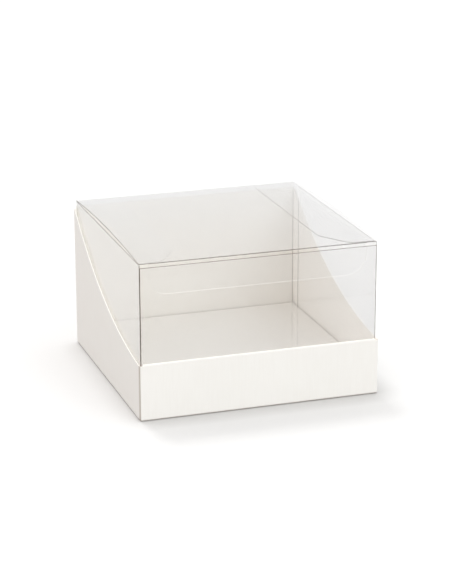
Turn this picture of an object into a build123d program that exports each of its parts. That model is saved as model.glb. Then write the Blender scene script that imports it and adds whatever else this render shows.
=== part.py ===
"""Favor box: a folded white card tray and a clear tuck-top box that stands in it.

Sizes are in millimetres. The origin is the middle of the footprint on the table,
+Z is up and the front of the box faces -Y. Each panel between two creases is a piece.
"""
import math
import os
from collections import namedtuple

from build123d import *

# Sheets: thickness, and the inside radius of a fold
card = 0.5
card_fold = 0.6
film = 0.3
film_fold = 0.3

# Card tray: outside sizes, and heights above the table
tray_width = 120.0
tray_depth = 120.0
front_height = 28.2
sweep_height = 39.8
back_height = 73.4
tip_radius = 0.9
floor_rise = 9.5

# Card tabs and setbacks: the front tabs are tucked into the double front wall, the back tabs are glued behind
front_tab = 24.0
front_tab_taper = 4.0
back_tab = 18.0
back_tab_drop = 1.5
back_tab_taper = 7.0
front_setback = 0.5
lining_setback = 2.0
flange_setback = 4.0

# Clear box: heights and flaps
clear_top = 76.6
front_drop = 1.9
lid_bow = 2.0
tuck_length = 16.2
tuck_inset = 5.0
tuck_corner = 9.0
tuck_lean = 7.0
dust_depth = 22.0
dust_taper = 17.0
dust_shoulder = 12.0
dust_step = 1.0
dust_corner = 7.0
dust_back_corner = 3.0
glue_lap = 9.0
glue_chamfer = 5.0
glue_drop = 2.0
base_tuck = 13.0
base_tuck_inset = 8.0
base_tuck_corner = 6.0

# Clearances
side_gap = 0.6
end_gap = 0.4
seat_gap = 0.2
slit = 0.3
crease_gap = 0.15
lid_gap = 0.3
flap_gap = 0.3

# Faces of the tray, and the outside radius of its folds
card_bend = card + card_fold
tray_x = tray_width / 2
inner_x = tray_x - card
front_y = -tray_depth / 2
back_y = tray_depth / 2
tab_y = front_y + card
lining_y = front_y + 3 * card
wall_y = back_y - card
wall_inner_y = wall_y - card
roll_radius = 1.5 * card
roll_z = front_height - roll_radius
raised_x = inner_x - card_fold
raised_back_y = wall_inner_y - card_fold
raised_underside = floor_rise - card

# Faces and crease lines of the clear box
clear_x = inner_x - side_gap
clear_front_y = lining_y + end_gap
clear_back_y = wall_inner_y - end_gap
base_z = floor_rise + seat_gap
side_top = clear_top - film - lid_gap
hinge_y = clear_back_y - film / 2
hinge_z = clear_top - film / 2
tuck_y = clear_front_y + film + flap_gap + film / 2
dust_hinge_x = clear_x - film - crease_gap - film / 2
dust_front_y = tuck_y + tuck_length * math.sin(math.radians(tuck_lean)) + film + flap_gap
dust_back_y = clear_back_y - film - flap_gap

# A wrap is a sheet folded round four upright corners, cut into its panels on the corner diagonals
Wrap = namedtuple("Wrap", "x y_low y_high thickness fold")
tray_wrap = Wrap(tray_x, tab_y, back_y, card, card_fold)
clear_wrap = Wrap(clear_x, clear_front_y, clear_back_y, film, film_fold)


def span(low, high):
    """A box from its lowest and highest corners."""
    size = [b - a for a, b in zip(low, high)]
    middle = [(a + b) / 2 for a, b in zip(low, high)]
    return Pos(*middle) * Box(*size)


def prism(plane, points, reach):
    """A polygon on a plane, thickened to both sides."""
    return extrude(plane * make_face(Polyline(*points, close=True)), amount=reach, both=True)


def ring(wrap, z_low, z_high):
    """The whole folded sheet of a wrap, between two heights."""
    width = 2 * wrap.x
    depth = wrap.y_high - wrap.y_low
    inside = 2 * wrap.thickness
    outer = RectangleRounded(width, depth, wrap.fold + wrap.thickness)
    inner = RectangleRounded(width - inside, depth - inside, wrap.fold)
    middle_y = (wrap.y_low + wrap.y_high) / 2
    return Pos(0, middle_y, z_low) * extrude(outer - inner, amount=z_high - z_low)


def corner_wedge(wrap, side, height):
    """The upright prism that holds one side of a wrap, bounded by the two corner diagonals."""
    deep = 2 * (wrap.thickness + wrap.fold)
    x_far = wrap.x + deep
    x_near = wrap.x - deep
    low_far = wrap.y_low - deep
    low_near = wrap.y_low + deep
    high_far = wrap.y_high + deep
    high_near = wrap.y_high - deep
    points = {
        "front": [(-x_far, low_far), (x_far, low_far), (x_near, low_near), (-x_near, low_near)],
        "back": [(-x_far, high_far), (x_far, high_far), (x_near, high_near), (-x_near, high_near)],
        "left": [(-x_far, low_far), (-x_far, high_far), (-x_near, high_near), (-x_near, low_near)],
        "right": [(x_far, low_far), (x_far, high_far), (x_near, high_near), (x_near, low_near)],
    }[side]
    return prism(Plane.XY, points, height)


def wrap_panel(wrap, side, z_low, z_high):
    """One panel of a wrap, with its half of each rounded corner."""
    return ring(wrap, z_low, z_high) & corner_wedge(wrap, side, 2 * z_high)


def mirrored(shape):
    """The other hand of a piece."""
    return mirror(shape, about=Plane.YZ)


def rounded_outline(points, radii):
    """A face on a polygon whose corners are rounded; a radius of 0 leaves a corner sharp."""
    face = make_face(Polyline(*points, close=True))
    for point, radius in zip(points, radii):
        if radius:
            face = fillet(face.vertices().sort_by_distance(Vector(*point))[0], radius)
    return face


# Card tray

def foot_fold(outside, inwards, half_length):
    """The fold between the tray's floor and a wall, run both ways from a point at the wall's foot."""
    bend = Pos(card_bend, card_bend) * (Circle(card_bend) - Circle(card_fold))
    quarter = Pos(card_bend / 2, card_bend / 2) * Rectangle(card_bend, card_bend)
    across = Plane(origin=outside, x_dir=inwards, z_dir=Vector(*inwards).cross(Vector(0, 0, 1)))
    return extrude(across * (bend & quarter), amount=half_length, both=True)


def tray_floor():
    """The panel that lies on the table, inside the folds of the four walls."""
    half = tray_x - card_bend
    return span((-half, front_y + card_bend, 0), (half, wall_y - card_bend, card))


def tray_side_wall():
    """The left wall: a concave edge sweeps from the back corner down to the front wall."""
    sweep = ThreePointArc((tab_y, roll_z), (0, sweep_height), (back_y, back_height))
    frame = Polyline((back_y, back_height), (back_y, 0), (tab_y, 0), (tab_y, roll_z))
    outline = make_face([sweep] + list(frame.edges()))
    tip = outline.vertices().sort_by_distance(Vector(back_y, back_height))[0]
    panel = wrap_panel(tray_wrap, "left", card_bend, back_height)
    swept = panel & extrude(Plane.YZ * fillet(tip, tip_radius), amount=tray_width, both=True)
    fold_middle = (front_y + wall_y) / 2
    return swept + foot_fold((-tray_x, fold_middle, 0), (1, 0, 0), wall_y - card_bend - fold_middle)


def tray_front_tab():
    """The left wall's tab, tucked between the front wall and its lining."""
    free_end = front_tab - tray_x
    top = roll_z - slit
    foot = card_bend
    points = [(-tray_x, foot), (free_end - front_tab_taper, foot), (free_end, foot + front_tab_taper),
              (free_end, top - front_tab_taper), (free_end - front_tab_taper, top), (-tray_x, top)]
    return wrap_panel(tray_wrap, "front", foot, roll_z) & prism(Plane.XZ, points, tray_depth)


def tray_back_tab():
    """The left wall's tab, glued to the outside of the back wall."""
    free_end = back_tab - tray_x
    top = back_height - back_tab_drop
    foot = card_bend
    points = [(-tray_x, foot), (free_end, foot + back_tab_taper),
              (free_end, top - back_tab_taper), (-tray_x, top)]
    return wrap_panel(tray_wrap, "back", foot, top) & prism(Plane.XZ, points, tray_depth)


def tray_back_wall():
    """The tall wall between the two side walls."""
    half = inner_x - card_fold
    wall = span((-half, wall_inner_y, card_bend), (half, wall_y, back_height))
    return wall + foot_fold((0, wall_y, 0), (0, -1, 0), half)


def tray_front_wall():
    """The low outer wall, across the folds of both side walls and just short of their faces."""
    half = tray_x - front_setback
    wall = span((-half, front_y, card_bend), (half, tab_y, roll_z))
    return wall + foot_fold((0, front_y, 0), (0, 1, 0), half)


def tray_front_lining():
    """The front wall's inner layer, rolled over its top edge and down to the raised floor."""
    middle_y = front_y + roll_radius
    roll = Circle(roll_radius) - Circle(roll_radius - card)
    upper_half = Pos(0, roll_radius) * Rectangle(2 * roll_radius, 2 * roll_radius)
    strip_height = roll_z - raised_underside
    strip = Pos(roll_radius - card / 2, -strip_height / 2) * Rectangle(card, strip_height)
    section = (roll & upper_half) + strip
    return extrude(Plane.YZ * Pos(middle_y, roll_z) * section, amount=tray_x - lining_setback, both=True)


def raised_floor():
    """The inner floor, folded back from the foot of the lining."""
    return span((-raised_x, lining_y, raised_underside), (raised_x, raised_back_y, floor_rise))


def raised_floor_side_flange():
    """The left rim of the raised floor, turned down to stand on the panel below."""
    low = (-raised_x, lining_y + flange_setback, card)
    high = (card - raised_x, raised_back_y - flange_setback, raised_underside)
    return span(low, high)


def raised_floor_back_flange():
    """The back rim of the raised floor, turned down to stand on the panel below."""
    half = raised_x - flange_setback
    return span((-half, raised_back_y - card, card), (half, raised_back_y, raised_underside))


# Clear box

def clear_glue_flap():
    """The lap of the back wall that is glued inside the right wall, with a slanted top end."""
    fold_y = clear_back_y - film - film_fold
    free_y = clear_back_y - glue_lap
    foot = base_z + film
    top = side_top - glue_drop
    points = [(fold_y, foot), (free_y, foot), (free_y, top - glue_chamfer), (fold_y, top)]
    return Pos(clear_x - 1.5 * film, 0, 0) * prism(Plane.YZ, points, film / 2)


def clear_base():
    """The bottom panel, which lies on the raised floor."""
    inside_x = clear_x - film
    low = (-inside_x, clear_front_y + film, base_z)
    high = (inside_x, clear_back_y - film, base_z + film)
    return span(low, high) - ring(clear_wrap, 0, clear_top)


def base_tuck_flap():
    """The bottom panel's flap, tucked up behind the front wall."""
    half = clear_x - base_tuck_inset
    foot = base_z + film
    points = [(-half, foot), (half, foot), (half, foot + base_tuck), (-half, foot + base_tuck)]
    outline = rounded_outline(points, [0, 0, base_tuck_corner, base_tuck_corner])
    upright = Plane.XZ.offset(-(clear_front_y + film))
    return extrude(upright * outline, amount=-film)


def clear_lid():
    """The top panel, bowed up between its hinge crease and its front fold."""
    middle = ((hinge_y + tuck_y) / 2, hinge_z + lid_bow)
    section = SlotArc(ThreePointArc((tuck_y, hinge_z), middle, (hinge_y, hinge_z)), film)
    return extrude(Plane.YZ * section, amount=clear_x - crease_gap, both=True)


def lid_tuck_flap():
    """The lid's flap, which hangs behind the front wall and leans a little inwards."""
    half = clear_x - tuck_inset
    head = -film / 2 - crease_gap
    points = [(-half, head), (half, head), (half, -tuck_length), (-half, -tuck_length)]
    outline = rounded_outline(points, [0, 0, tuck_corner, tuck_corner])
    lean = math.radians(tuck_lean)
    hang = Plane(origin=(0, tuck_y, hinge_z), x_dir=(1, 0, 0), z_dir=(0, -math.cos(lean), -math.sin(lean)))
    return extrude(hang * outline, amount=film / 2, both=True)


def lid_dust_flap():
    """The right wall's flap, folded in under the lid."""
    inner_edge = dust_hinge_x - dust_depth
    shoulder = (dust_hinge_x - dust_shoulder, dust_front_y + dust_step)
    points = [(dust_hinge_x, dust_front_y), (dust_hinge_x, dust_back_y), (inner_edge, dust_back_y),
              (inner_edge, dust_front_y + dust_taper), shoulder]
    outline = rounded_outline(points, [0, 0, dust_back_corner, dust_corner, dust_corner])
    plate = Pos(0, 0, side_top - film) * extrude(outline, amount=film)
    middle_y = (dust_front_y + dust_back_y) / 2
    along_y = Rot(90, 0, 0) * Cylinder(film / 2, dust_back_y - dust_front_y)
    return plate + Pos(dust_hinge_x, middle_y, side_top - film / 2) * along_y


back_top = hinge_z - film / 2 - crease_gap
left_wall = tray_side_wall()
left_front_tab = tray_front_tab()
left_back_tab = tray_back_tab()
left_flange = raised_floor_side_flange()
right_dust_flap = lid_dust_flap()

pieces = {
    "tray_floor": tray_floor(),
    "tray_left_wall": left_wall,
    "tray_right_wall": mirrored(left_wall),
    "tray_back_wall": tray_back_wall(),
    "tray_front_wall": tray_front_wall(),
    "tray_front_lining": tray_front_lining(),
    "tray_front_tab_left": left_front_tab,
    "tray_front_tab_right": mirrored(left_front_tab),
    "tray_back_tab_left": left_back_tab,
    "tray_back_tab_right": mirrored(left_back_tab),
    "raised_floor": raised_floor(),
    "raised_floor_flange_left": left_flange,
    "raised_floor_flange_right": mirrored(left_flange),
    "raised_floor_flange_back": raised_floor_back_flange(),
    "clear_front_wall": wrap_panel(clear_wrap, "front", base_z, clear_top - front_drop),
    "clear_back_wall": wrap_panel(clear_wrap, "back", base_z, back_top),
    "clear_left_wall": wrap_panel(clear_wrap, "left", base_z, side_top),
    "clear_right_wall": wrap_panel(clear_wrap, "right", base_z, side_top),
    "clear_glue_flap": clear_glue_flap(),
    "clear_base": clear_base(),
    "base_tuck_flap": base_tuck_flap(),
    "clear_lid": clear_lid(),
    "lid_tuck_flap": lid_tuck_flap(),
    "lid_dust_flap_left": mirrored(right_dust_flap),
    "lid_dust_flap_right": right_dust_flap,
}

os.makedirs("parts", exist_ok=True)
for name, piece in pieces.items():
    export_step(piece, f"parts/{name}.step")
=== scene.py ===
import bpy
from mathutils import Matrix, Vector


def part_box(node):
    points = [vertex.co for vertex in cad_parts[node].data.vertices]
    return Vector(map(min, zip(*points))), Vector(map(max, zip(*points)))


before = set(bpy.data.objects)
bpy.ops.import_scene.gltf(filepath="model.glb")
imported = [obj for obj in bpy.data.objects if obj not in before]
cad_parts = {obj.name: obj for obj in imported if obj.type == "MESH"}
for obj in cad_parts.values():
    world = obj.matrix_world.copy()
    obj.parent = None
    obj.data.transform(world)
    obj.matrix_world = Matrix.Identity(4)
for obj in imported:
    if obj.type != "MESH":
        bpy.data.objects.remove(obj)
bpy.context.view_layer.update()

import math

import bpy
from mathutils import Matrix, Vector

MM = 0.001
WHITE = (1.0, 1.0, 1.0, 1.0)

# Camera at the photograph's viewing angle; focal length and centre are in the photograph's pixels
IMAGE_LONG_SIDE = 584
FOCAL_PIXELS = 2081.2
CENTRE_RIGHT = -4.05
CENTRE_DOWN = 6.57
SENSOR = 36.0
AZIMUTH = math.radians(-18.013)
ELEVATION = math.radians(18.227)
ROLL = math.radians(-0.191)
DISTANCE = 1036.8 * MM
AIM = Vector((0.0, 0.0, 36.0 * MM))
CLIP_START = 10.0 * MM

# Card: fine ribs and faint clouds between two whites, with painted shade at the foot and beside the front
# fold
CARD_PALE = (0.935, 0.911, 0.874, 1.0)
CARD_DEEP = (0.92, 0.894, 0.855, 1.0)
CARD_SHADE = (0.58, 0.52, 0.47, 1.0)
CARD_CUT = (0.89, 0.865, 0.825, 1.0)
CARD_ROUGHNESS = (0.55, 0.72)
CARD_SPECULAR = 0.3
CARD_BUMP = {"strength": 0.35, "height": 0.06 * MM}
STREAKS_PER_METRE = (1200.0, 70.0)
STREAK_NOISE = {"scale": 1.0, "detail": 2.5, "roughness": 0.55}
RIBS_PER_METRE = (2300.0, 260.0)
RIB_NOISE = {"scale": 1.0, "detail": 1.0, "roughness": 0.5}
CLOUD_NOISE = {"scale": 60.0, "detail": 3.0, "roughness": 0.55}
TONE_SHARES = (0.65, 0.35)
TONE_RANGE = (0.36, 0.64)
RELIEF_SHARES = (0.6, 0.4)
FOOT_SHADE = (0.1 * MM, 1.0 * MM)
GROOVE_SHADE = (0.1 * MM, 1.6 * MM)
BROAD_FACE = 0.7
CUT_FACE = 0.5
FOLDED_CARD = (
    "tray_left_wall",
    "tray_right_wall",
    "tray_front_tab_left",
    "tray_front_tab_right",
)

# Film: the share of light that each panel passes, and its gloss
CLEAR_TINTS = {
    "clear_front_wall": (0.915, 0.917, 0.92),
    "clear_left_wall": (0.815, 0.81, 0.805),
    "clear_right_wall": (0.885, 0.89, 0.9),
    "clear_back_wall": (0.77, 0.767, 0.763),
    "clear_base": (0.83, 0.83, 0.83),
    "clear_lid": (0.9, 0.9, 0.9),
    "lid_tuck_flap": (0.99, 0.99, 0.988),
}
FLAP_TINT = (0.985, 0.985, 0.985)
LAMP_TINT = (0.998, 0.998, 0.998)
WALL_IOR = 1.45
FLAP_IORS = {"lid_tuck_flap": 1.42}
FLAP_IOR = 1.15
GLOSS_ROUGHNESS = 0.01
RIPPLE_NOISE = {"scale": 22.0, "detail": 1.0, "roughness": 0.4}
RIPPLE_BUMP = {"strength": 0.05, "height": 0.5 * MM}

# Film rims: painted dark from outside and pale from inside, standing in for the light that the film's
# edges and folds bend, with a cover each for rims that face X, Y and Z
PAINTED_RIM_DARK = (0.085, 0.05, 0.032, 1.0)
PAINTED_RIM_PALE = (0.95, 0.94, 0.92, 1.0)
EDGE_ROUGHNESS = 0.5
EDGE_SPECULAR = 0.1
RIM_COVERS = {
    "clear_front_wall": (1.0, 0.85, 0.75),
    "clear_left_wall": (0.6, 1.0, 0.45),
    "clear_right_wall": (0.35, 0.35, 0.5),
    "clear_back_wall": (0.6, 0.6, 0.4),
    "clear_glue_flap": (0.45, 0.45, 0.4),
    "clear_lid": (1.0, 0.8, 0.5),
    "lid_tuck_flap": (0.3, 0.8, 0.7),
    "lid_dust_flap_left": (0.35, 0.3, 0.3),
}
FLAP_COVERS = (0.9, 0.8, 0.7)
OPEN_COVER = 0.15
PALE_COVERS = {"lid_tuck_flap": 1.0}
PALE_COVER = 0.08
SHEET_FACE = 0.97
UPRIGHT_FACE = 0.5
LIP = 0.15 * MM

# Floor: pale paper with a painted close contact shade and a painted wide shadow, each leaning to one side
FLOOR_HALF = 4.0
FLOOR_WHITE = (0.89, 0.89, 0.89, 1.0)
FLOOR_GREY = (0.875, 0.875, 0.875, 1.0)
FLOOR_SHADE = (0.575, 0.567, 0.558, 1.0)
FLOOR_PAINTED_SHADOW = (0.72, 0.716, 0.712, 1.0)
FLOOR_BOUNCE = (0.42, 0.42, 0.42, 1.0)
FLOOR_ROUGHNESS = 0.9
FLOOR_SPECULAR = 0.1
GRAIN_NOISE = {"scale": 300.0, "detail": 2.0, "roughness": 0.5}
SHADE_REACH = 13.0 * MM
SHADE_SIDE = (-0.2, 0.5, 0.84)
PAINTED_SHADOW_REACH = 55.0 * MM
PAINTED_SHADOW_SIDE = (0.0, 0.8, 0.6)
SHADE_SAMPLES = 16

# Light: a white tent, brighter or warmer on some sides, a soft key behind and a wide fill in front
SKY_COLOUR = (0.945, 0.945, 0.945)
SKY_LEANS = (
    ((0.0, 0.0, 1.0), (-0.13, -0.13, -0.13)),
    ((0.5, -0.866, 0.0), (0.48, 0.51, 0.51)),
    ((-0.85, 0.0, 0.527), (0.17, 0.13, 0.11)),
)
LAMPS = {
    "key": {
        "towards": (-0.08, 0.76, 0.64),
        "power": 0.9,
        "softness": 20.0,
        "colour": (1.0, 1.0, 1.0),
    },
    "fill": {
        "towards": (0.5, -0.85, 0.17),
        "power": 0.6,
        "softness": 45.0,
        "colour": (0.96, 1.0, 1.0),
    },
}
BOUNCES = {
    "max_bounces": 32,
    "transmission_bounces": 32,
    "transparent_max_bounces": 64,
    "glossy_bounces": 8,
    "diffuse_bounces": 8,
}


class Tree:
    """Short calls for building a shader tree."""

    def __init__(self, tree):
        self.tree = tree
        tree.nodes.clear()

    def node(self, kind, **settings):
        made = self.tree.nodes.new(kind)
        for key, value in settings.items():
            setattr(made, key, value)
        return made

    def link(self, source, target):
        self.tree.links.new(source, target)

    def feed(self, target, value):
        if isinstance(value, bpy.types.NodeSocket):
            self.link(value, target)
        else:
            target.default_value = value

    def math(self, operation, first, second=0.0):
        made = self.node("ShaderNodeMath", operation=operation)
        self.feed(made.inputs[0], first)
        self.feed(made.inputs[1], second)
        return made.outputs[0]

    def vector_math(self, operation, first, second, output="Vector"):
        made = self.node("ShaderNodeVectorMath", operation=operation)
        self.feed(made.inputs[0], first)
        self.feed(made.inputs[1], second)
        return made.outputs[output]

    def scaled(self, vector, factor):
        made = self.node("ShaderNodeVectorMath", operation="SCALE")
        self.feed(made.inputs[0], vector)
        self.feed(made.inputs["Scale"], factor)
        return made.outputs["Vector"]

    def combine(self, x, y, z):
        made = self.node("ShaderNodeCombineXYZ")
        for socket, value in zip(made.inputs, (x, y, z)):
            self.feed(socket, value)
        return made.outputs[0]

    def separate(self, vector):
        made = self.node("ShaderNodeSeparateXYZ")
        self.link(vector, made.inputs[0])
        return made.outputs

    def mix_value(self, factor, first, second):
        made = self.node("ShaderNodeMix", data_type="FLOAT")
        self.feed(made.inputs[0], factor)
        self.feed(made.inputs[2], first)
        self.feed(made.inputs[3], second)
        return made.outputs[0]

    def mix_colour(self, factor, first, second):
        made = self.node("ShaderNodeMix", data_type="RGBA")
        self.feed(made.inputs[0], factor)
        self.feed(made.inputs[6], first)
        self.feed(made.inputs[7], second)
        return made.outputs[2]

    def mix_shader(self, factor, first, second):
        made = self.node("ShaderNodeMixShader")
        self.feed(made.inputs[0], factor)
        self.link(first, made.inputs[1])
        self.link(second, made.inputs[2])
        return made.outputs[0]

    def weighted(self, first, second, shares):
        """The sum of two values, each times its share."""
        parts = (self.math("MULTIPLY", value, share) for value, share in zip((first, second), shares))
        return self.math("ADD", *parts)

    def ramp(self, value, low, high):
        made = self.node("ShaderNodeMapRange", interpolation_type="SMOOTHSTEP")
        self.link(value, made.inputs["Value"])
        made.inputs["From Min"].default_value = low
        made.inputs["From Max"].default_value = high
        return made.outputs["Result"]

    def noise(self, vector, scale, detail, roughness):
        made = self.node("ShaderNodeTexNoise")
        self.link(vector, made.inputs["Vector"])
        made.inputs["Scale"].default_value = scale
        made.inputs["Detail"].default_value = detail
        made.inputs["Roughness"].default_value = roughness
        return made.outputs["Fac"]

    def bump(self, relief, strength, height):
        made = self.node("ShaderNodeBump")
        made.inputs["Strength"].default_value = strength
        made.inputs["Distance"].default_value = height
        self.link(relief, made.inputs["Height"])
        return made.outputs[0]

    def openness(self, reach, towards):
        """How free the space is within reach, looking towards one side."""
        made = self.node("ShaderNodeAmbientOcclusion", samples=SHADE_SAMPLES)
        made.inputs["Distance"].default_value = reach
        self.link(self.combine(*towards), made.inputs["Normal"])
        return made.outputs["AO"]

    def seen(self):
        """One for rays that the picture shows: straight, mirrored or through film."""
        path = self.node("ShaderNodeLightPath")
        direct = self.math("MAXIMUM", path.outputs["Is Camera Ray"], path.outputs["Is Glossy Ray"])
        return self.math("MAXIMUM", direct, path.outputs["Is Transmission Ray"])

    def principled(self, colour, roughness, specular, normal=None):
        made = self.node("ShaderNodeBsdfPrincipled")
        self.link(colour, made.inputs["Base Color"])
        self.feed(made.inputs["Roughness"], roughness)
        made.inputs["Specular IOR Level"].default_value = specular
        if normal is not None:
            self.link(normal, made.inputs["Normal"])
        return made.outputs[0]

    def glossy(self, roughness, normal):
        made = self.node("ShaderNodeBsdfGlossy")
        made.inputs["Color"].default_value = WHITE
        made.inputs["Roughness"].default_value = roughness
        self.link(normal, made.inputs["Normal"])
        return made.outputs[0]

    def transparent(self, tint):
        made = self.node("ShaderNodeBsdfTransparent")
        made.inputs["Color"].default_value = (*tint, 1.0)
        return made.outputs[0]

    def output(self, shader):
        made = self.node("ShaderNodeOutputMaterial")
        self.link(shader, made.inputs["Surface"])


def new_material(name):
    material = bpy.data.materials.new(name)
    material.use_nodes = True
    return material, Tree(material.node_tree)


def card_material(name, groove_y=None):
    """White ribbed card, with painted shade at its foot.

    On a side wall whose front fold is at groove_y it also has painted shade towards the fold, and its cut
    edge has its own tone.
    """
    material, t = new_material(name)
    where = t.node("ShaderNodeTexCoord")
    x, y, z = t.separate(where.outputs["Object"])
    normal = t.separate(where.outputs["Normal"])
    faces_side = t.math("GREATER_THAN", t.math("ABSOLUTE", normal[0]), BROAD_FACE)
    faces_up = t.math("GREATER_THAN", t.math("ABSOLUTE", normal[2]), BROAD_FACE)
    across = t.mix_value(faces_side, x, y)
    along = t.mix_value(faces_up, z, y)

    def ribbed(per_metre, noise):
        cells = [t.math("MULTIPLY", place, count) for place, count in zip((across, along), per_metre)]
        return t.noise(t.combine(*cells, faces_side), **noise)

    streaks = ribbed(STREAKS_PER_METRE, STREAK_NOISE)
    ribs = ribbed(RIBS_PER_METRE, RIB_NOISE)
    clouds = t.noise(where.outputs["Object"], **CLOUD_NOISE)
    tone = t.weighted(streaks, clouds, TONE_SHARES)
    colour = t.mix_colour(t.ramp(tone, *TONE_RANGE), CARD_DEEP, CARD_PALE)
    # Painted shade: the card's foot, and on a side wall the strip beside the front fold, are mixed
    # towards CARD_SHADE
    free_of_painted_shade = t.ramp(z, *FOOT_SHADE)
    if groove_y is not None:
        low, high = GROOVE_SHADE
        free_of_painted_groove_shade = t.ramp(y, groove_y + low, groove_y + high)
        free_of_painted_shade = t.math("MINIMUM", free_of_painted_shade, free_of_painted_groove_shade)
        cut_edge = t.math("LESS_THAN", t.math("ABSOLUTE", normal[0]), CUT_FACE)
        colour = t.mix_colour(cut_edge, colour, CARD_CUT)
    colour = t.mix_colour(free_of_painted_shade, CARD_SHADE, colour)
    bump = t.bump(t.weighted(streaks, ribs, RELIEF_SHARES), **CARD_BUMP)
    roughness = t.mix_value(ribs, *CARD_ROUGHNESS)
    t.output(t.principled(colour, roughness, CARD_SPECULAR, bump))
    return material


def film_material(name, thin_axis, tint, ior, covers, pale_cover, open_z, lip_z):
    """Clear sheet, thin along one axis, with rims painted dark from outside and pale from inside.

    Above open_z the upright rims in the back half are painted faint, because only light is behind them.
    Above lip_z all of the sheet is a rim. Either height may be None.
    """
    material, t = new_material(name)
    where = t.node("ShaderNodeTexCoord")
    bump = t.bump(t.noise(where.outputs["Object"], **RIPPLE_NOISE), **RIPPLE_BUMP)
    inside = t.node("ShaderNodeNewGeometry").outputs["Backfacing"]
    fresnel = t.node("ShaderNodeFresnel")
    t.link(t.mix_value(inside, ior, 1.0 / ior), fresnel.inputs["IOR"])
    t.link(bump, fresnel.inputs["Normal"])
    gloss = t.glossy(GLOSS_ROUGHNESS, bump)
    passing = t.transparent([math.sqrt(part) for part in tint])
    sheet = t.mix_shader(fresnel.outputs[0], passing, gloss)

    normal = where.outputs["Normal"]
    facing = t.separate(normal)
    place = t.separate(where.outputs["Object"])
    along_thin = t.math("ABSOLUTE", facing["XYZ".index(thin_axis)])
    rim = t.math("LESS_THAN", along_thin, SHEET_FACE)
    if lip_z is not None:
        rim = t.math("MAXIMUM", rim, t.math("GREATER_THAN", place[2], lip_z))
    squared = t.vector_math("MULTIPLY", normal, normal)
    dark_cover = t.vector_math("DOT_PRODUCT", squared, covers, "Value")
    if open_z is not None:
        upright = t.math("LESS_THAN", t.math("ABSOLUTE", facing[2]), UPRIGHT_FACE)
        high = t.math("MULTIPLY", upright, t.math("GREATER_THAN", place[2], open_z))
        in_open = t.math("MULTIPLY", high, t.math("GREATER_THAN", place[1], 0.0))
        dark_cover = t.mix_value(in_open, dark_cover, OPEN_COVER)
    # Painted shade and painted light: rims, and the front wall's top band above lip_z, are dark from
    # outside and pale from inside, standing in for light bent at the film's edges
    painted_rim_colour = t.mix_colour(inside, PAINTED_RIM_DARK, PAINTED_RIM_PALE)
    edge = t.principled(painted_rim_colour, EDGE_ROUGHNESS, EDGE_SPECULAR)
    cover = t.mix_value(inside, dark_cover, pale_cover)
    sheet = t.mix_shader(t.math("MULTIPLY", rim, cover), sheet, edge)

    clear = t.transparent(LAMP_TINT)
    path = t.node("ShaderNodeLightPath")
    lit = t.mix_shader(path.outputs["Is Diffuse Ray"], sheet, clear)
    t.output(t.mix_shader(path.outputs["Is Shadow Ray"], lit, clear))
    return material


def floor_material():
    """Pale paper with painted shade and painted shadow around what stands on it, that sends little light
    back up.
    """
    material, t = new_material("studio_floor")
    where = t.node("ShaderNodeTexCoord")
    grain = t.noise(where.outputs["Object"], **GRAIN_NOISE)
    colour = t.mix_colour(grain, FLOOR_GREY, FLOOR_WHITE)
    # Painted shadow and painted shade: the floor colour is darkened where the box is near, widely towards
    # its back and closely at its foot
    colour = t.mix_colour(t.openness(PAINTED_SHADOW_REACH, PAINTED_SHADOW_SIDE), FLOOR_PAINTED_SHADOW, colour)
    colour = t.mix_colour(t.openness(SHADE_REACH, SHADE_SIDE), FLOOR_SHADE, colour)
    colour = t.mix_colour(t.seen(), FLOOR_BOUNCE, colour)
    t.output(t.principled(colour, FLOOR_ROUGHNESS, FLOOR_SPECULAR))
    return material


def film_finish(name):
    """The film of one panel, with its own tint, gloss and rims."""
    low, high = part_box(name)
    reach = list(high - low)
    return film_material(
        f"film_{name}",
        thin_axis="XYZ"[reach.index(min(reach))],
        tint=CLEAR_TINTS.get(name, FLAP_TINT),
        ior=FLAP_IORS.get(name, FLAP_IOR) if "flap" in name else WALL_IOR,
        covers=RIM_COVERS.get(name, FLAP_COVERS),
        pale_cover=PALE_COVERS.get(name, PALE_COVER),
        open_z=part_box("tray_left_wall")[1].z if name.endswith("wall") else None,
        lip_z=high.z - LIP if name == "clear_front_wall" else None,
    )


def dress_nodes():
    """Card on the tray's panels, film on the clear box's."""
    card = card_material("ribbed_card")
    front_fold_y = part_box("tray_front_tab_left")[0].y
    folded_card = card_material("ribbed_card_fold", front_fold_y)
    for name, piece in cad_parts.items():
        if name in FOLDED_CARD:
            finish = folded_card
        elif name.startswith(("tray", "raised")):
            finish = card
        else:
            finish = film_finish(name)
        piece.data.materials.clear()
        piece.data.materials.append(finish)


def add_floor():
    mesh = bpy.data.meshes.new("floor")
    signs = ((-1, -1), (1, -1), (1, 1), (-1, 1))
    corners = [(x * FLOOR_HALF, y * FLOOR_HALF, 0.0) for x, y in signs]
    mesh.from_pydata(corners, [], [(0, 1, 2, 3)])
    floor = bpy.data.objects.new("floor", mesh)
    bpy.context.scene.collection.objects.link(floor)
    mesh.materials.append(floor_material())


def add_lamp(name, towards, power, softness, colour):
    lamp = bpy.data.lights.new(name, "SUN")
    lamp.energy = power
    lamp.angle = math.radians(softness)
    lamp.color = colour
    holder = bpy.data.objects.new(name, lamp)
    holder.rotation_euler = (-Vector(towards)).to_track_quat("-Z", "Y").to_euler()
    bpy.context.scene.collection.objects.link(holder)


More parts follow.
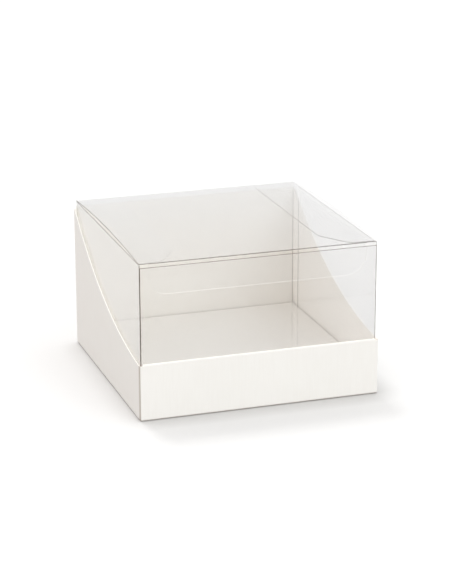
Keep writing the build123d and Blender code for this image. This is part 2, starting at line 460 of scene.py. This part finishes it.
def light_scene():
    """The tent lights the box, a white backdrop is what is seen of it, and two lamps shape the shadow."""
    world = bpy.data.worlds.new("studio")
    bpy.context.scene.world = world
    world.use_nodes = True
    t = Tree(world.node_tree)
    direction = t.node("ShaderNodeTexCoord").outputs["Generated"]
    colour = SKY_COLOUR
    for towards, amount in SKY_LEANS:
        lean = t.vector_math("DOT_PRODUCT", direction, towards, "Value")
        share = t.math("MAXIMUM", lean, 0.0)
        colour = t.vector_math("ADD", colour, t.scaled(amount, share))
    sky = t.node("ShaderNodeBackground")
    t.link(colour, sky.inputs["Color"])
    backdrop = t.node("ShaderNodeBackground")
    backdrop.inputs["Color"].default_value = WHITE
    tent = t.mix_shader(t.seen(), sky.outputs[0], backdrop.outputs[0])
    t.link(tent, t.node("ShaderNodeOutputWorld").inputs["Surface"])
    for name, settings in LAMPS.items():
        add_lamp(name, **settings)


def add_camera():
    back = Vector((
        math.sin(AZIMUTH) * math.cos(ELEVATION),
        -math.cos(AZIMUTH) * math.cos(ELEVATION),
        math.sin(ELEVATION),
    ))
    right = Vector((math.cos(AZIMUTH), math.sin(AZIMUTH), 0.0))
    up = back.cross(right)
    turned_right = math.cos(ROLL) * right + math.sin(ROLL) * up
    turned_up = math.cos(ROLL) * up - math.sin(ROLL) * right
    lens = bpy.data.cameras.new("camera")
    lens.sensor_width = SENSOR
    lens.lens = FOCAL_PIXELS * SENSOR / IMAGE_LONG_SIDE
    lens.shift_x = -CENTRE_RIGHT / IMAGE_LONG_SIDE
    lens.shift_y = CENTRE_DOWN / IMAGE_LONG_SIDE
    lens.clip_start = CLIP_START
    camera = bpy.data.objects.new("camera", lens)
    turn = Matrix((turned_right, turned_up, back)).transposed().to_4x4()
    camera.matrix_world = Matrix.Translation(AIM + DISTANCE * back) @ turn
    bpy.context.scene.collection.objects.link(camera)
    bpy.context.scene.camera = camera


dress_nodes()
add_floor()
light_scene()
add_camera()
scene = bpy.context.scene
scene.view_settings.view_transform = "Standard"
for limit, count in BOUNCES.items():
    setattr(scene.cycles, limit, count)
